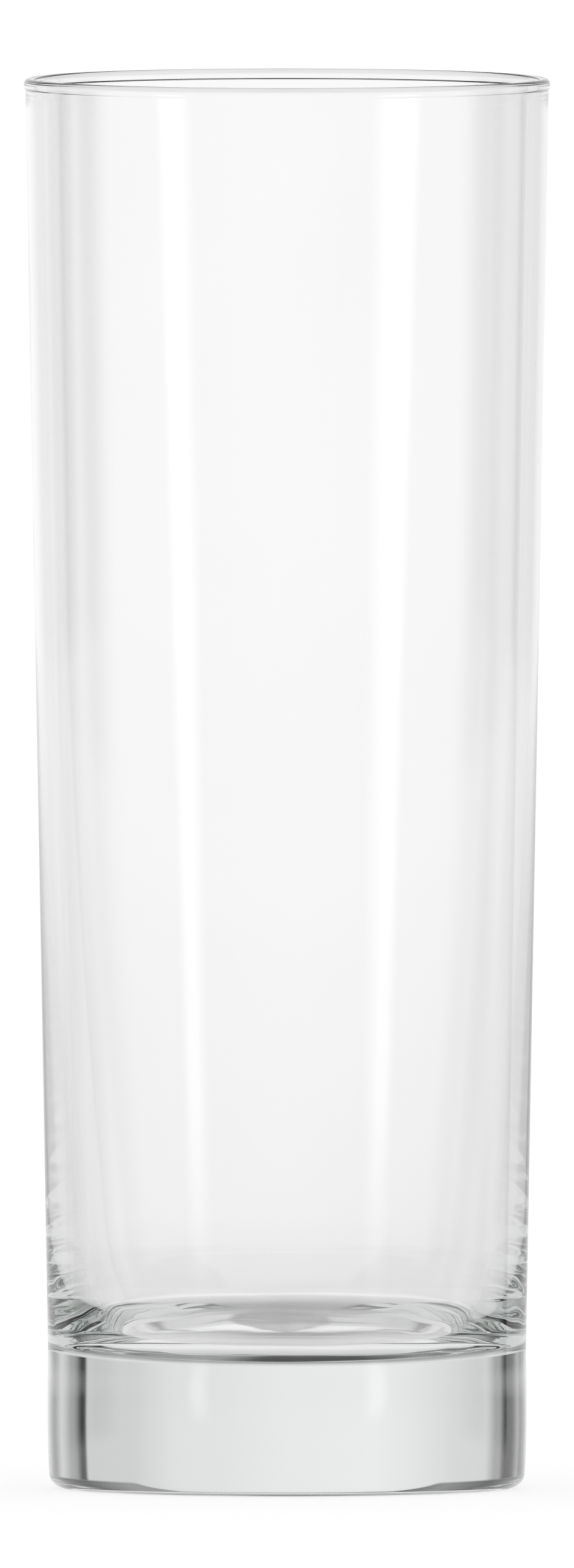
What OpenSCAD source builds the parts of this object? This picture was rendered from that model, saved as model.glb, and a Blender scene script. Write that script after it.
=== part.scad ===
// Slim highball glass: one piece of clear glass, turned about its upright axis.
// The straight wall leans outwards, thickens towards the floor on its inner side
// and stands on a thick solid base. Sizes are in millimetres, +Z is up, and the
// origin is in the middle of the ring that the glass stands on.

/* [Overall] */
// Height from the table to the top of the rim
height = 166.5; // [130:0.5:200]
// Outside diameter of the wall just under the rim bead
rim_d = 61.8; // [52:0.1:80]
// Outside diameter of the wall where it meets the foot
waist_d = 56.5; // [51:0.5:74]

/* [Wall] */
// Thickness of the thin upper wall
wall_t = 1; // [0.8:0.05:2]
// Thickness of the wall where it runs into the corner of the floor
wall_low_t = 4.4; // [2.5:0.1:7]
// Height at which the wall starts to thicken on its way down
thicken_h = 105; // [60:1:120]
// How much the wall gains besides, just above the corner
flare_t = 0.8; // [0:0.1:2]
// Height above the corner over which it gains that
flare_h = 8; // [4:0.5:20]

/* [Rim] */
// Thickness of the rounded, fire-polished bead
bead_t = 1.25; // [1.1:0.05:3]
// How far the bead stands out past the outside of the wall
bead_proud = 0.16; // [0:0.02:0.6]
// Height of the bead's straight outer side, under the round of the lip
bead_side_h = 0.5; // [0.1:0.1:3]
// Height of the slanted shoulder under it, which brings the bead back to the wall
bead_fade_h = 0.18; // [0.1:0.02:6]
// Height over which the inside of the lip fades into the wall
lip_fade_h = 3; // [1:0.25:8]

/* [Base] */
// Thickness of solid glass under the middle of the floor
base_t = 14.9; // [8:0.1:28]
// How much higher the floor is at its edge than in its middle
floor_dish = 1.6; // [0.1:0.1:2]
// How late the floor curls up: 2 makes an even bowl, more keeps its middle flat
floor_power = 4; // [2:1:6]
// Radius of the corner between the floor and the wall
corner_r = 3.8; // [2:0.1:10]

/* [Foot] */
// Height at which the swell of the foot runs out into the wall
foot_h = 17.5; // [12:0.5:30]
// Height of the fullest part of the foot
foot_full_h = 7; // [4:0.5:9]
// How far the foot swells out past the straight line of the wall
foot_swell = 0.2; // [0:0.02:1.5]
// Radius of the heel between the foot and the standing ring
heel_r = 1.9; // [0.8:0.1:3.5]

/* [Underside] */
// Diameter of the shallow hollow inside the standing ring
hollow_d = 44; // [30:0.5:46]
// Depth of that hollow in the middle
hollow_h = 0.4; // [0.3:0.1:3]

/* [Hidden] */
$fn = 144;
// Steps along a small round, such as the heel or the lip
arc_steps = 14;
// Steps along a long, gentle curve
curve_steps = 18;

rim_r = rim_d / 2;
waist_r = waist_d / 2;
hollow_r = hollow_d / 2;

// The lip is a half round on top of the wall, with the bead's side and shoulder under it
lip_r = bead_t / 2;
lip_z = height - lip_r;
lip_x = rim_r + bead_proud - lip_r;
bead_low_z = lip_z - bead_side_h;
fade_z = bead_low_z - bead_fade_h;
lip_inside = bead_t - bead_proud - wall_t;
lip_low_z = lip_z - lip_fade_h;

// The wall's straight outer line, as radius gained per height
lean = (rim_r - waist_r) / (lip_z - foot_h);
foot_reach = foot_h - foot_full_h;

// The floor rises to its edge, where the corner takes over
floor_edge_z = base_t + floor_dish;
corner_top_z = floor_edge_z + corner_r;
thicken_run = thicken_h - corner_top_z;
thicken_by = wall_low_t - wall_t;
flare_top_z = corner_top_z + flare_h;

// Smooth step from 0 to 1, level at both ends
function ease(u) = (1 - cos(180 * max(0, min(1, u)))) / 2;

// Shares of the bead's growth outside and of the lip's inside that are reached at height z
function bead_share(z) = max(0, min(1, (z - fade_z) / bead_fade_h));
function lip_share(z) = ease((z - lip_low_z) / lip_fade_h);

// Rounded swell of the foot, fullest at foot_full_h and gone at foot_h
function swell(z) = foot_swell * pow(cos(90 * max(-1, min(1, (z - foot_full_h) / foot_reach))), 2);

// Wall thickness below the lip: two parabolas, one long and one short, towards the floor
function thickened(z) = thicken_by * pow(max(0, thicken_h - z) / thicken_run, 2);
function flared(z) = flare_t * pow(max(0, flare_top_z - z) / flare_h, 2);
function wall(z) = wall_t + thickened(z) + flared(z);

// Radius of the wall's straight outer line, of the outside and of the inside
function line_r(z) = waist_r + lean * (z - foot_h);
function outer_r(z) = line_r(z) + swell(z) + bead_proud * bead_share(z);
function inner_r(z) = line_r(z) - wall(z) - lip_inside * lip_share(z);

// Points of a round about centre c, from angle a to angle b
function arc(c, r, a, b) = [
    for (i = [0 : arc_steps])
        let (t = a + (b - a) * i / arc_steps)
            c + r * [cos(t), sin(t)]
];

// Values between a and b, without the two ends
function between(a, b, steps) = [for (i = [1 : steps - 1]) a + (b - a) * i / steps];

// The heel meets the foot where both lean alike
heel_lean = atan((outer_r(2 * heel_r) - outer_r(0)) / (2 * heel_r));
heel_top_z = heel_r * (1 - sin(heel_lean));
heel_x = outer_r(heel_top_z) - heel_r * cos(heel_lean);

// The corner of the floor meets the inner wall and the dished floor the same way
corner_lean = atan(lean + 2 * thicken_by / thicken_run + 2 * flare_t / flare_h);
floor_rise = atan(floor_power * floor_dish / (inner_r(corner_top_z) - corner_r));
corner_z = floor_edge_z + corner_r * cos(floor_rise);
corner_wall_z = corner_z - corner_r * sin(corner_lean);
corner_x = inner_r(corner_wall_z) - corner_r * cos(corner_lean);
floor_r = corner_x + corner_r * sin(floor_rise);

// Half section, from the middle of the underside round to the middle of the floor
underside = [
    for (r = concat([0], between(0, hollow_r, curve_steps), [hollow_r]))
        [r, hollow_h * (1 - pow(r / hollow_r, 2))]
];
heel = arc([heel_x, heel_r], heel_r, -90, -heel_lean);
foot = [for (z = between(heel_top_z, foot_h, curve_steps)) [outer_r(z), z]];
wall_outside = [for (z = [foot_h, fade_z, bead_low_z]) [outer_r(z), z]];
lip = arc([lip_x, lip_z], lip_r, 0, 180);
wall_inside = [
    for (z = concat(between(lip_z, lip_low_z, arc_steps), [lip_low_z, thicken_h],
                    between(thicken_h, flare_top_z, curve_steps), [flare_top_z],
                    between(flare_top_z, corner_wall_z, curve_steps)))
        [inner_r(z), z]
];
corner = arc([corner_x, corner_z], corner_r, -corner_lean, floor_rise - 90);
floor_top = [
    for (r = concat(between(floor_r, 0, curve_steps), [0]))
        [r, base_t + floor_dish * pow(r / floor_r, floor_power)]
];

module tumbler() {
    color([0.86, 0.93, 0.92, 0.45])
        rotate_extrude()
            polygon(concat(underside, heel, foot, wall_outside, lip, wall_inside, corner, floor_top));
}

tumbler();
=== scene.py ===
"""Slim highball glass of clear glass, standing on a plain white stage."""
import math

import bpy
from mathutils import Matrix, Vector


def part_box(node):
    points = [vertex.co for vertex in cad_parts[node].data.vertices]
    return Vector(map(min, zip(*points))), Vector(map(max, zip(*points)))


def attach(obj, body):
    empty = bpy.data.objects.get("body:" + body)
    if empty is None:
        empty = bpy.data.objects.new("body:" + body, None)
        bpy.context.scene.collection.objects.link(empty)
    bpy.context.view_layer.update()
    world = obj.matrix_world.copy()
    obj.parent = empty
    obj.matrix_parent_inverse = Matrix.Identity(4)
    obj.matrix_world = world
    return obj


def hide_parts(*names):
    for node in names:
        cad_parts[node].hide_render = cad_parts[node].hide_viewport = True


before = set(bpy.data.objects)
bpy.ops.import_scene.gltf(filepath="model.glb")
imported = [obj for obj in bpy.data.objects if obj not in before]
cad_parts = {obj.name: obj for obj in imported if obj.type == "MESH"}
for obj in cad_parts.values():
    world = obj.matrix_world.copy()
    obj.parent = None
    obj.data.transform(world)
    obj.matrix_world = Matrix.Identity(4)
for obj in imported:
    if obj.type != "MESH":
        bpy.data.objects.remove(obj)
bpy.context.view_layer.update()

MM = 0.001
glass_low, glass_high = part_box("tumbler")

# Sizes of the glass, in metres
HEIGHT = glass_high.z - glass_low.z
RIM_R = 61.8 * MM / 2
WAIST_R = 56.5 * MM / 2
WALL_T = 1 * MM
WALL_LOW_T = 4.4 * MM
THICKEN_H = 105 * MM
BEAD_T = 1.25 * MM
BEAD_PROUD = 0.16 * MM
BEAD_SIDE_H = 0.5 * MM
BEAD_FADE_H = 0.18 * MM
LIP_FADE_H = 3 * MM
FLARE_T = 0.8 * MM
FLARE_H = 8 * MM
BASE_T = 14.9 * MM
FLOOR_DISH = 1.6 * MM
FLOOR_POWER = 4
CORNER_R = 3.8 * MM
FOOT_H = 17.5 * MM
FOOT_FULL_H = 7 * MM
FOOT_SWELL = 0.2 * MM
HEEL_R = 1.9 * MM
HOLLOW_R = 44 * MM / 2
HOLLOW_H = 0.4 * MM

# The glass bends light, and tints it over its depth
GLASS_IOR = 1.52
DEPTH_TINT = (0.55, 0.60, 0.57, 1)
DEPTH_DENSITY = 7

# Faint unevenness of the fire-polished skin, and the clouds in its polish as (noise, value) stops
SKIN_LENGTH = 18 * MM
SKIN_DEPTH = 0.05 * MM
SKIN_SHARE = 0.15
POLISH_LENGTH = 30 * MM
POLISH_DETAIL = 4
POLISH_ROUGHNESS = [(0.3, 0.0), (0.7, 0.02)]
POLISH_CLEARNESS = [(0.3, 1.0), (0.7, 0.99)]

# Waves that the setting glass leaves low on the inner wall
WAVE_H = 2.5 * MM
WAVE_LENGTH = 9 * MM
WAVE_SIZE = 0.16 * MM
# They grow outwards over the floor, between these two radii
WAVE_START_R = 0.6 * WAIST_R
WAVE_FULL_R = 0.75 * WAIST_R

# How finely the section is drawn and spun
ARC_STEPS = 16
CURVE_STEPS = 24
SPIN_STEPS = 240
# Points closer than this are one
MERGE_GAP = 0.001 * MM
# Width of the soft edges of the bead's shoulder
EDGE_H = 0.02 * MM

# The photograph's height and scale in pixels, the place of the foot in it, and the camera
PHOTO_H = 2576
PX_PER_MM = 13.92
AXIS_FOOT_Y = 2444.5
VIEW_ELEVATION = math.radians(2.2)
CAMERA_DISTANCE = 1
NEAR_CLIP = 0.01
FAR_CLIP = 20
# How often light may pass or bounce in the glass, and how often of that as a reflection
GLASS_BOUNCES = 32
REFLECTION_BOUNCES = 24

# The pale floor, just under the glass, and the share of it that glows by itself
FLOOR_R = 150 * MM
FLOOR_DROP = 0.05 * MM
FLOOR_SIDES = 128
FLOOR_GLOW = 0.8
# A painted shadow on the floor, seen only through the glass in place of a cast one: greys and share from its
# middle outwards, narrowed sideways
SHADE_CENTRE = (0, 18 * MM, 0)
SHADE_R = 50 * MM
SHADE_SHAPE = (1.5, 1, 1)
SHADE_TONES = [
    (0, 0.15), (0.2, 0.22), (0.27, 0.36), (0.36, 0.5), (0.52, 0.64), (0.72, 0.76), (0.86, 1.0), (1, 0.9),
]
SHADE_SHARE = [(0.8, 1), (1, 0)]

# Values that follow from the sizes
LIP_R = BEAD_T / 2
LIP_Z = HEIGHT - LIP_R
LIP_X = RIM_R + BEAD_PROUD - LIP_R
BEAD_INSIDE = BEAD_T - BEAD_PROUD - WALL_T
BEAD_LOW_Z = LIP_Z - BEAD_SIDE_H
FADE_Z = BEAD_LOW_Z - BEAD_FADE_H
LIP_LOW_Z = LIP_Z - LIP_FADE_H
LEAN = (RIM_R - WAIST_R) / (LIP_Z - FOOT_H)
FLOOR_EDGE_Z = BASE_T + FLOOR_DISH
CORNER_TOP_Z = FLOOR_EDGE_Z + CORNER_R
THICKEN_RUN = THICKEN_H - CORNER_TOP_Z
THICKEN_BY = WALL_LOW_T - WALL_T
FLARE_TOP_Z = CORNER_TOP_Z + FLARE_H
WAVE_TOP_Z = CORNER_TOP_Z + WAVE_H


def clamp(value, low, high):
    return max(low, min(high, value))


def ease(u):
    """Smooth step from 0 to 1, level at both ends."""
    return (1 - math.cos(math.pi * clamp(u, 0, 1))) / 2


def bead_share(z):
    return clamp((z - FADE_Z) / BEAD_FADE_H, 0, 1)


def lip_share(z):
    return ease((z - LIP_LOW_Z) / LIP_FADE_H)


def foot_swell(z):
    reach = clamp((z - FOOT_FULL_H) / (FOOT_H - FOOT_FULL_H), -1, 1)
    return FOOT_SWELL * math.cos(math.pi / 2 * reach) ** 2


def wall_thickness(z):
    thickened = THICKEN_BY * (max(0, THICKEN_H - z) / THICKEN_RUN) ** 2
    flared = FLARE_T * (max(0, FLARE_TOP_Z - z) / FLARE_H) ** 2
    return WALL_T + thickened + flared


def line_r(z):
    return WAIST_R + LEAN * (z - FOOT_H)


def outer_r(z):
    return line_r(z) + foot_swell(z) + BEAD_PROUD * bead_share(z)


def inner_r(z):
    return line_r(z) - wall_thickness(z) - BEAD_INSIDE * lip_share(z)


def arc(x, z, radius, start, end):
    """Points of a round in the half section, from one angle to another."""
    steps = [start + (end - start) * i / ARC_STEPS for i in range(ARC_STEPS + 1)]
    return [(x + radius * math.cos(a), z + radius * math.sin(a)) for a in steps]


def between(start, end, steps):
    """Evenly spaced values between two ends, without the ends."""
    return [start + (end - start) * i / steps for i in range(1, steps)]


def half_section():
    """The glass cut down its axis, from the middle of the underside to the middle of the floor."""
    heel_lean = math.atan((outer_r(2 * HEEL_R) - outer_r(0)) / (2 * HEEL_R))
    heel_top = HEEL_R * (1 - math.sin(heel_lean))
    heel_x = outer_r(heel_top) - HEEL_R * math.cos(heel_lean)
    corner_lean = math.atan(LEAN + 2 * THICKEN_BY / THICKEN_RUN + 2 * FLARE_T / FLARE_H)
    floor_rise = math.atan(FLOOR_POWER * FLOOR_DISH / (inner_r(CORNER_TOP_Z) - CORNER_R))
    corner_z = FLOOR_EDGE_Z + CORNER_R * math.cos(floor_rise)
    corner_wall_z = corner_z - CORNER_R * math.sin(corner_lean)
    corner_x = inner_r(corner_wall_z) - CORNER_R * math.cos(corner_lean)
    floor_r = corner_x + CORNER_R * math.sin(floor_rise)

    section = [(r, HOLLOW_H * (1 - (r / HOLLOW_R) ** 2))
               for r in [0, *between(0, HOLLOW_R, CURVE_STEPS), HOLLOW_R]]
    section += arc(heel_x, HEEL_R, HEEL_R, -math.pi / 2, -heel_lean)
    outside = [
        *between(heel_top, FOOT_H, CURVE_STEPS), FOOT_H,
        *between(FOOT_H, FADE_Z, CURVE_STEPS), FADE_Z - EDGE_H, FADE_Z,
        *between(FADE_Z, BEAD_LOW_Z, ARC_STEPS // 2), BEAD_LOW_Z, BEAD_LOW_Z + EDGE_H,
    ]
    section += [(outer_r(z), z) for z in outside]
    section += arc(LIP_X, LIP_Z, LIP_R, 0, math.pi)
    inside = [
        *between(LIP_Z, LIP_LOW_Z, ARC_STEPS), LIP_LOW_Z,
        *between(LIP_LOW_Z, THICKEN_H, CURVE_STEPS // 2), THICKEN_H,
        *between(THICKEN_H, WAVE_TOP_Z, CURVE_STEPS), WAVE_TOP_Z,
        *between(WAVE_TOP_Z, corner_wall_z, 2 * CURVE_STEPS),
    ]
    section += [(inner_r(z), z) for z in inside]
    section += arc(corner_x, corner_z, CORNER_R, -corner_lean, floor_rise - math.pi / 2)
    section += [(r, BASE_T + FLOOR_DISH * (r / floor_r) ** FLOOR_POWER)
                for r in [*between(floor_r, 0, CURVE_STEPS), 0]]
    return section


def spin_glass(name, section):
    """Draws the half section as a chain of edges and spins it into a closed glass."""
    bpy.ops.object.select_all(action="DESELECT")
    bpy.ops.mesh.primitive_plane_add(size=WALL_T)
    glass = bpy.context.object
    glass.name = name
    bpy.ops.object.mode_set(mode="EDIT")
    bpy.ops.mesh.merge(type="CENTER")
    place = Vector((0, 0, 0))
    for i, (r, z) in enumerate(section):
        step = Vector((r, 0, z)) - place
        if i == 0:
            bpy.ops.transform.translate(value=step)
        else:
            bpy.ops.mesh.extrude_region_move(TRANSFORM_OT_translate={"value": step})
        place += step
    bpy.ops.mesh.select_all(action="SELECT")
    bpy.ops.mesh.spin(steps=SPIN_STEPS, angle=2 * math.pi, center=(0, 0, 0), axis=(0, 0, 1))
    bpy.ops.mesh.select_all(action="SELECT")
    bpy.ops.mesh.remove_doubles(threshold=MERGE_GAP)
    bpy.ops.mesh.normals_make_consistent(inside=False)
    bpy.ops.object.mode_set(mode="OBJECT")
    bpy.ops.object.shade_smooth()
    return glass


def settle_waves(glass):
    """Shifts the lower inner wall in and out by soft waves, most near the corner of the floor."""
    waves = glass.vertex_groups.new(name="settle_waves")
    for vertex in glass.data.vertices:
        r = math.hypot(vertex.co.x, vertex.co.y)
        z = vertex.co.z
        if BASE_T < z < WAVE_TOP_Z and r < outer_r(z) - WALL_T:
            up = ease((WAVE_TOP_Z - z) / WAVE_H)
            out = ease((r - WAVE_START_R) / (WAVE_FULL_R - WAVE_START_R))
            waves.add([vertex.index], up * out, "REPLACE")
    noise = bpy.data.textures.new("settle_waves", "CLOUDS")
    noise.noise_scale = WAVE_LENGTH
    noise.noise_depth = 1
    shift = glass.modifiers.new("settle_waves", "DISPLACE")
    shift.texture = noise
    shift.texture_coords = "LOCAL"
    shift.vertex_group = waves.name
    shift.strength = WAVE_SIZE
    bpy.context.view_layer.objects.active = glass
    bpy.ops.object.modifier_apply(modifier=shift.name)
    glass.vertex_groups.clear()


def add_node(tree, kind, **settings):
    made = tree.nodes.new(kind)
    for key, value in settings.items():
        setattr(made, key, value)
    return made


def math_node(tree, operation, *values, use_clamp=False):
    """A Math node whose inputs are sockets or plain numbers."""
    made = add_node(tree, "ShaderNodeMath", operation=operation, use_clamp=use_clamp)
    for socket, value in zip(made.inputs, values):
        if isinstance(value, (int, float)):
            socket.default_value = value
        else:
            tree.links.new(value, socket)
    return made.outputs[0]


def ramp_node(tree, factor, stops):
    """A ColorRamp from (position, grey) stops."""
    made = add_node(tree, "ShaderNodeValToRGB")
    ramp = made.color_ramp
    while len(ramp.elements) > 1:
        ramp.elements.remove(ramp.elements[-1])
    for i, (position, grey) in enumerate(stops):
        stop = ramp.elements[0] if i == 0 else ramp.elements.new(position)
        stop.position = position
        stop.color = (grey, grey, grey, 1)
    tree.links.new(factor, made.inputs[0])
    return made.outputs["Color"]


def clear_glass():
    """Clear glass, a little uneven in its skin and its polish, that tints what is seen through its depth."""
    material = bpy.data.materials.new("clear_glass")
    material.use_nodes = True
    tree = material.node_tree
    shader = tree.nodes["Principled BSDF"]
    shader.inputs["IOR"].default_value = GLASS_IOR
    shader.inputs["Transmission Weight"].default_value = 1
    place = add_node(tree, "ShaderNodeTexCoord").outputs["Object"]

    def clouds(length, detail):
        made = add_node(tree, "ShaderNodeTexNoise")
        made.inputs["Scale"].default_value = 1 / length
        made.inputs["Detail"].default_value = detail
        tree.links.new(place, made.inputs["Vector"])
        return made.outputs[0]

    polish = clouds(POLISH_LENGTH, POLISH_DETAIL)
    tree.links.new(ramp_node(tree, polish, POLISH_ROUGHNESS), shader.inputs["Roughness"])
    tree.links.new(ramp_node(tree, polish, POLISH_CLEARNESS), shader.inputs["Base Color"])
    skin = add_node(tree, "ShaderNodeBump")
    skin.inputs["Strength"].default_value = SKIN_SHARE
    skin.inputs["Distance"].default_value = SKIN_DEPTH
    tree.links.new(clouds(SKIN_LENGTH, 1), skin.inputs["Height"])
    tree.links.new(skin.outputs["Normal"], shader.inputs["Normal"])
    body = add_node(tree, "ShaderNodeVolumeAbsorption")
    body.inputs["Color"].default_value = DEPTH_TINT
    body.inputs["Density"].default_value = DEPTH_DENSITY
    tree.links.new(body.outputs[0], tree.nodes["Material Output"].inputs["Volume"])
    return material


glass = spin_glass("highball_glass", half_section())
settle_waves(glass)
glass.data.materials.append(clear_glass())
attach(glass, "root")
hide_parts("tumbler")


# Grey of the studio round the horizon, by degrees round from straight behind the glass
STUDIO_RING = [
    (-180, 0.9), (-88, 0.86), (-56, 0.72), (-34, 0.79), (-24, 0.91), (-15, 0.99),
    (0, 0.97), (10, 0.91), (20, 0.88), (30, 0.72), (56, 0.66), (88, 0.86), (180, 0.9),
]
# How clear the studio is past its dark flags, by mm from the middle of the base at which they show
FLAG_TONES = [
    (-28.2, 1), (-27.9, 0.35), (-27.6, 0.1), (-27.3, 0.2), (-27, 0.6), (-26.6, 1), (-26.2, 0.85),
    (-25.6, 0.6), (-24.9, 0.5), (-24.5, 0.15), (-24.3, 0), (-23.9, 0), (-23.6, 1),
    (23.5, 1), (24.6, 0.5), (25.1, 0.55), (25.5, 0.15), (25.8, 0), (26.6, 0), (26.9, 0.2), (27.2, 0.45),
    (27.5, 0), (27.9, 0), (28.2, 1),
]
# Share of the flags by degrees of height
FLAG_SHARE = [(-4, 0), (-3.3, 1), (7, 1), (10, 0)]
# Grey of the studio by degrees of height, up to the top of the white backdrop
STUDIO_HEIGHT = [(-90, 0.80), (-30, 0.80), (-12, 0.84), (-6.6, 0.92), (-2.2, 1.0)]
# Share of the ring's grey by degrees of height
RING_SHARE = [(-14, 0), (-9, 0.5), (-4, 0.4), (-3.3, 1)]
# Degrees of height at which the backdrop ends, by degrees round
BACKDROP_TOP = [(-140, 24), (-120, 6), (-30, 6), (-21, 26), (21, 26), (30, 6), (120, 6), (140, 24)]
BACKDROP_FADE = 4
# Grey above the backdrop by degrees of height
OVERHEAD = [(20, 0.03), (65, 0.08), (90, 0.15)]
# Grey added to it by degrees round
OVERHEAD_SIDES = [(-50, 0), (-32, 0.25), (-16, 0), (5, 0), (13, 0.3), (32, 0.3), (50, 0)]
# Grey of the ceiling's bright fields by degrees round, and their share by degrees of height
FIELDS = [
    (-180, 0.35), (-156, 0.35), (-150, 0.9), (-80, 0.9), (-65, 0),
    (65, 0), (80, 0.95), (114, 0.95), (116, 1), (142, 1), (148, 0.3), (180, 0.3),
]
FIELD_SHARE = [(24, 0), (32, 0.6), (44, 0.7), (50, 1)]
# What the camera and the floor see of the studio
PLAIN_WHITE = (1.06, 1.06, 1.06, 1)
# Soft panels: degrees round, from the camera's side, of the inner and outer side at the low and the high end
PANELS = {
    "soft_panel_left": [(-35, -47), (-44, -62)],
    "soft_panel_right": [(35, 48), (37, 64)],
}
PANEL_DISTANCE = 600 * MM
PANEL_LOW_Z = -20 * MM
PANEL_HIGH_Z = 160 * MM
PANEL_GLOW = 3
# How the panels' glow fades towards their edges, across and upwards
PANEL_ACROSS = [(0, 0), (0.35, 1), (0.65, 1), (1, 0)]
PANEL_UP = [(0, 0), (0.15, 1), (0.9, 1), (1, 0)]


def flag_turn(across):
    """Degrees round towards which a ray through the base leaves it, so many mm from its middle."""
    off = abs(across) * MM / WAIST_R
    bent = math.degrees(2 * (math.asin(off) - math.asin(off / GLASS_IOR)))
    return bent if across < 0 else -bent


def studio_world():
    """White backdrop, darker sides and a dark ceiling, seen in the glass. The camera sees plain white."""
    world = bpy.data.worlds.new("studio")
    bpy.context.scene.world = world
    world.use_nodes = True
    tree = world.node_tree
    background = tree.nodes["Background"]
    direction = add_node(tree, "ShaderNodeSeparateXYZ")
    tree.links.new(add_node(tree, "ShaderNodeTexCoord").outputs["Generated"], direction.inputs[0])
    x, y, z = direction.outputs
    turn = math_node(tree, "MULTIPLY_ADD", math_node(tree, "ARCTAN2", x, y), 0.5 / math.pi, 0.5)
    height = math_node(tree, "MULTIPLY_ADD", math_node(tree, "ARCSINE", z), 1 / math.pi, 0.5)

    def by_turn(stops, scale=1):
        return ramp_node(tree, turn, [((a + 180) / 360, g / scale) for a, g in stops])

    def by_height(stops):
        return ramp_node(tree, height, [((a + 90) / 180, g) for a, g in stops])

    def mix(kind, factor, first, second):
        made = add_node(tree, "ShaderNodeMix", data_type="RGBA", blend_type=kind)
        tree.links.new(factor, made.inputs["Factor"])
        for socket, value in zip((made.inputs[6], made.inputs[7]), (first, second)):
            if isinstance(value, tuple):
                socket.default_value = value
            else:
                tree.links.new(value, socket)
        return made.outputs[2]

    backdrop = mix("MULTIPLY", by_height(RING_SHARE), by_height(STUDIO_HEIGHT), by_turn(STUDIO_RING))
    flags = by_turn(sorted((flag_turn(across), clear) for across, clear in FLAG_TONES))
    backdrop = mix("MULTIPLY", by_height(FLAG_SHARE), backdrop, flags)
    degrees_up = math_node(tree, "MULTIPLY_ADD", height, 180, -90)
    top = math_node(tree, "MULTIPLY", by_turn(BACKDROP_TOP, 90), 90)
    past_top = math_node(tree, "SUBTRACT", degrees_up, top)
    above = math_node(tree, "DIVIDE", past_top, BACKDROP_FADE, use_clamp=True)
    fields = math_node(tree, "MULTIPLY", by_turn(FIELDS), by_height(FIELD_SHARE))
    overhead = math_node(tree, "ADD", by_height(OVERHEAD), by_turn(OVERHEAD_SIDES))
    ceiling = math_node(tree, "ADD", overhead, fields)
    studio = mix("MIX", above, backdrop, ceiling)
    rays = add_node(tree, "ShaderNodeLightPath").outputs
    plain = math_node(tree, "ADD", rays["Is Camera Ray"], rays["Is Diffuse Ray"], use_clamp=True)
    tree.links.new(mix("MIX", plain, studio, PLAIN_WHITE), background.inputs["Color"])


def soft_panel(name, low_sides, high_sides):
    """A glowing panel with soft edges, seen only as a reflection in the glass."""
    bpy.ops.object.select_all(action="DESELECT")
    bpy.ops.mesh.primitive_plane_add(size=PANEL_DISTANCE)
    panel = bpy.context.object
    panel.name = name
    corners = [(turn, PANEL_LOW_Z) for turn in low_sides] + [(turn, PANEL_HIGH_Z) for turn in high_sides]
    for vertex, (turn, z) in zip(panel.data.vertices, corners):
        a = math.radians(turn)
        vertex.co = (math.sin(a) * PANEL_DISTANCE, -math.cos(a) * PANEL_DISTANCE, z)
    material = bpy.data.materials.new(name)
    material.use_nodes = True
    tree = material.node_tree
    tree.nodes.clear()
    out = add_node(tree, "ShaderNodeOutputMaterial")
    glow = add_node(tree, "ShaderNodeEmission")
    clear = add_node(tree, "ShaderNodeBsdfTransparent")
    blend = add_node(tree, "ShaderNodeMixShader")
    place = add_node(tree, "ShaderNodeSeparateXYZ")
    tree.links.new(add_node(tree, "ShaderNodeTexCoord").outputs["UV"], place.inputs[0])
    across = ramp_node(tree, place.outputs[0], PANEL_ACROSS)
    up = ramp_node(tree, place.outputs[1], PANEL_UP)
    tree.links.new(math_node(tree, "MULTIPLY", across, up), blend.inputs[0])
    tree.links.new(clear.outputs[0], blend.inputs[1])
    tree.links.new(glow.outputs[0], blend.inputs[2])
    glow.inputs["Strength"].default_value = PANEL_GLOW
    tree.links.new(blend.outputs[0], out.inputs["Surface"])
    panel.data.materials.append(material)
    panel.visible_camera = False
    panel.visible_diffuse = False
    panel.visible_transmission = False
    panel.visible_shadow = False


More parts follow.
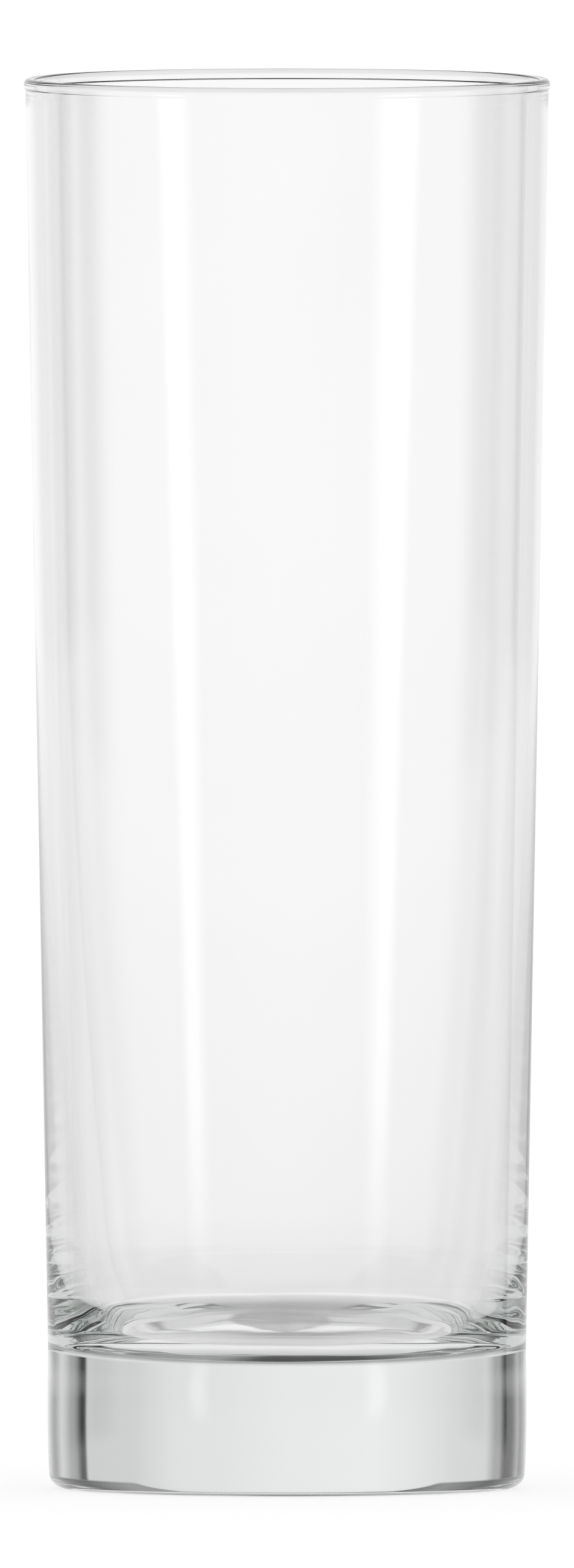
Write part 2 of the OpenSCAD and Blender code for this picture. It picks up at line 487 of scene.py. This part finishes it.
def pale_floor():
    """The camera sees a white floor. Through the glass only a painted shadow round the foot shows."""
    bpy.ops.object.select_all(action="DESELECT")
    bpy.ops.mesh.primitive_circle_add(vertices=FLOOR_SIDES, radius=FLOOR_R, fill_type="NGON",
                                      location=(0, 0, -FLOOR_DROP))
    floor = bpy.context.object
    floor.name = "pale_floor"
    material = bpy.data.materials.new("pale_floor")
    material.use_nodes = True
    tree = material.node_tree
    tree.nodes.clear()
    out = add_node(tree, "ShaderNodeOutputMaterial")
    lit = add_node(tree, "ShaderNodeBsdfDiffuse")
    lit.inputs["Color"].default_value = (1, 1, 1, 1)
    white = add_node(tree, "ShaderNodeEmission")
    bright = add_node(tree, "ShaderNodeMixShader")
    bright.inputs[0].default_value = FLOOR_GLOW
    tree.links.new(lit.outputs[0], bright.inputs[1])
    tree.links.new(white.outputs[0], bright.inputs[2])
    # Painted shadow: glowing greys by distance from a point behind the foot, fading to clear at its edge
    shade = add_node(tree, "ShaderNodeEmission")
    clear = add_node(tree, "ShaderNodeBsdfTransparent")
    patch = add_node(tree, "ShaderNodeMixShader")
    from_shade = add_node(tree, "ShaderNodeVectorMath", operation="DISTANCE")
    from_shade.inputs[1].default_value = SHADE_CENTRE
    narrowed = add_node(tree, "ShaderNodeVectorMath", operation="MULTIPLY")
    narrowed.inputs[1].default_value = SHADE_SHAPE
    tree.links.new(add_node(tree, "ShaderNodeTexCoord").outputs["Object"], narrowed.inputs[0])
    tree.links.new(narrowed.outputs[0], from_shade.inputs[0])
    near = math_node(tree, "DIVIDE", from_shade.outputs["Value"], SHADE_R)
    tree.links.new(ramp_node(tree, near, SHADE_TONES), shade.inputs["Color"])
    tree.links.new(ramp_node(tree, near, SHADE_SHARE), patch.inputs[0])
    tree.links.new(clear.outputs[0], patch.inputs[1])
    tree.links.new(shade.outputs[0], patch.inputs[2])
    path = add_node(tree, "ShaderNodeLightPath")
    blend = add_node(tree, "ShaderNodeMixShader")
    tree.links.new(path.outputs["Is Camera Ray"], blend.inputs[0])
    tree.links.new(patch.outputs[0], blend.inputs[1])
    tree.links.new(bright.outputs[0], blend.inputs[2])
    tree.links.new(blend.outputs[0], out.inputs["Surface"])
    floor.data.materials.append(material)


def photo_camera():
    """A camera with no perspective, level with the photograph's view and framed as it is."""
    bpy.ops.object.camera_add()
    camera = bpy.context.object
    camera.data.type = "ORTHO"
    camera.data.ortho_scale = PHOTO_H / PX_PER_MM * MM
    camera.data.clip_start = NEAR_CLIP
    camera.data.clip_end = FAR_CLIP
    aim_z = (AXIS_FOOT_Y - PHOTO_H / 2) / PX_PER_MM * MM / math.cos(VIEW_ELEVATION)
    back = Vector((0, -math.cos(VIEW_ELEVATION), math.sin(VIEW_ELEVATION)))
    camera.location = Vector((0, 0, aim_z)) + CAMERA_DISTANCE * back
    camera.rotation_euler = (-back).to_track_quat("-Z", "Y").to_euler()
    bpy.context.scene.camera = camera


studio_world()
for panel_name, (low_sides, high_sides) in PANELS.items():
    soft_panel(panel_name, low_sides, high_sides)
pale_floor()
photo_camera()
bpy.context.scene.view_settings.view_transform = "Standard"
bpy.context.scene.cycles.max_bounces = GLASS_BOUNCES
bpy.context.scene.cycles.glossy_bounces = REFLECTION_BOUNCES
bpy.context.scene.cycles.transmission_bounces = GLASS_BOUNCES
